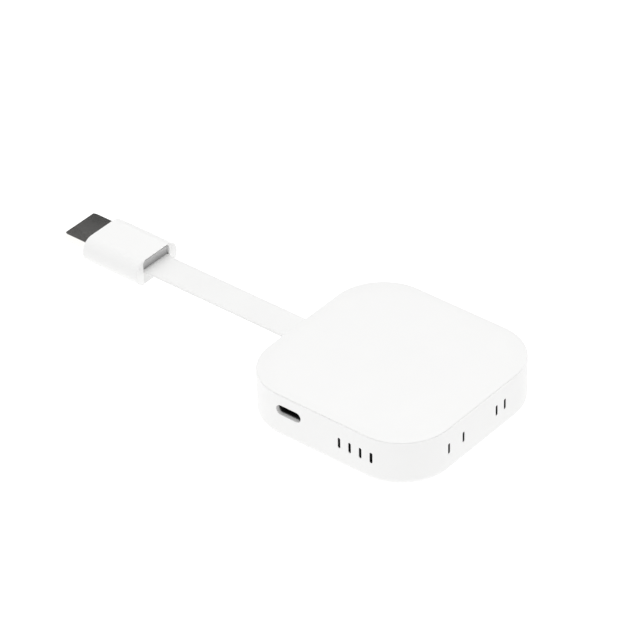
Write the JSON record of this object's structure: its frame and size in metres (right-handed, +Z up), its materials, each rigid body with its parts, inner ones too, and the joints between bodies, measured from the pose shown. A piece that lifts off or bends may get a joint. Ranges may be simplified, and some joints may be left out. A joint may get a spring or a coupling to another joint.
{
  "type": "streaming media stick",
  "caption": "Round-cornered white square media streamer with a flat flexible tail that ends in a full-size video plug, a power socket and slim vent slots.",
  "frame": {"origin": "middle of the flat underside of the square body", "axes": "+Z up through the crowned top, the tail and the video plug run along -X, the power socket faces -Y"},
  "size_m": [0.157, 0.067, 0.0165],
  "materials": {
    "case_white": "fine satin",
    "cover_white": "fine satin",
    "jacket_white": "smooth soft jacket",
    "plug_white": "fine satin",
    "mould_grey": "plain moulded",
    "plug_steel": "smooth nickel plate",
    "tin_plate": "tin plated sheet",
    "spreader_aluminium": "milled",
    "board_green": "solder mask",
    "chip_black": "moulded epoxy",
    "coil_grey": "pressed powder",
    "ceramic_tan": "fired ceramic",
    "tantalum_amber": "moulded epoxy",
    "contact_gold": "gold plate",
    "wire_copper": "tinned copper",
    "screw_black": "black oxide",
    "thermal_pad": "soft silicone",
    "insulator_black": "moulded",
    "clamp_white": "moulded"
  },
  "bodies": {
    "puck": {"base_case": "case_white", "top_cover": "cover_white", "upper_heat_spreader": "spreader_aluminium", "lower_heat_spreader": "spreader_aluminium", "main_board": "board_green", "board_screws": "screw_black", "processor": "chip_black", "memory_chips": "chip_black", "flash_chip": "chip_black", "power_chip": "chip_black", "power_inductors": "coil_grey", "ceramic_capacitors": "ceramic_tan", "tantalum_capacitors": "tantalum_amber", "crystal": "tin_plate", "surge_chip": "chip_black", "wireless_module": "board_green", "wireless_can": "tin_plate", "antennas": "tin_plate", "shield_fence": "tin_plate", "shield_lid": "tin_plate", "processor_pad": "thermal_pad", "upper_pad": "thermal_pad", "lower_pad": "thermal_pad", "usb_shell": "tin_plate", "usb_insulator": "insulator_black", "usb_contacts": "contact_gold", "reset_switch": "coil_grey", "tail_clamp": "clamp_white", "tail_wire_ends": "wire_copper", "tail_jacket_near": "jacket_white", "tail_ribbon_near": "wire_copper"},
    "tail_near": {"tail_jacket_middle": "jacket_white", "tail_ribbon_middle": "wire_copper"},
    "tail_far": {"tail_jacket_far": "jacket_white", "tail_ribbon_far": "wire_copper"},
    "plug": {"plug_sleeve": "plug_white", "plug_mould": "mould_grey", "plug_shell": "plug_steel", "plug_insulator": "insulator_black", "plug_contacts": "contact_gold", "plug_board": "board_green", "plug_rear_shield": "tin_plate", "plug_wire_ends": "wire_copper", "tail_anchor": "clamp_white"},
    "reset_button": {"reset_plunger": "insulator_black"}
  },
  "joints": [
    {"name": "tail_bend_near", "type": "hinge", "parent": "puck", "child": "tail_near", "pos_m": [-0.0446, 0, 0.0111], "axis": [0, 1, 0], "range_deg": [-60, 60], "stiffness_Nm_per_rad": 0.1, "springref_deg": 2.58, "deforming": ["tail_jacket_near", "tail_ribbon_near"]},
    {"name": "tail_twist", "type": "hinge", "parent": "tail_near", "child": "tail_far", "pos_m": [-0.0627, 0, 0.0111], "axis": [1, 0, 0], "range_deg": [-20, 20], "stiffness_Nm_per_rad": 0.05, "deforming": ["tail_jacket_middle", "tail_ribbon_middle"]},
    {"name": "tail_bend_far", "type": "hinge", "parent": "tail_far", "child": "plug", "pos_m": [-0.0808, 0, 0.0111], "axis": [0, 1, 0], "range_deg": [-60, 60], "stiffness_Nm_per_rad": 0.1, "springref_deg": 1.15, "deforming": ["tail_jacket_far", "tail_ribbon_far"]},
    {"name": "reset_press", "type": "slide", "parent": "puck", "child": "reset_button", "axis": [0, 0, 1], "range_m": [0, 0.00025], "stiffness_N_per_m": 800}
  ]
}
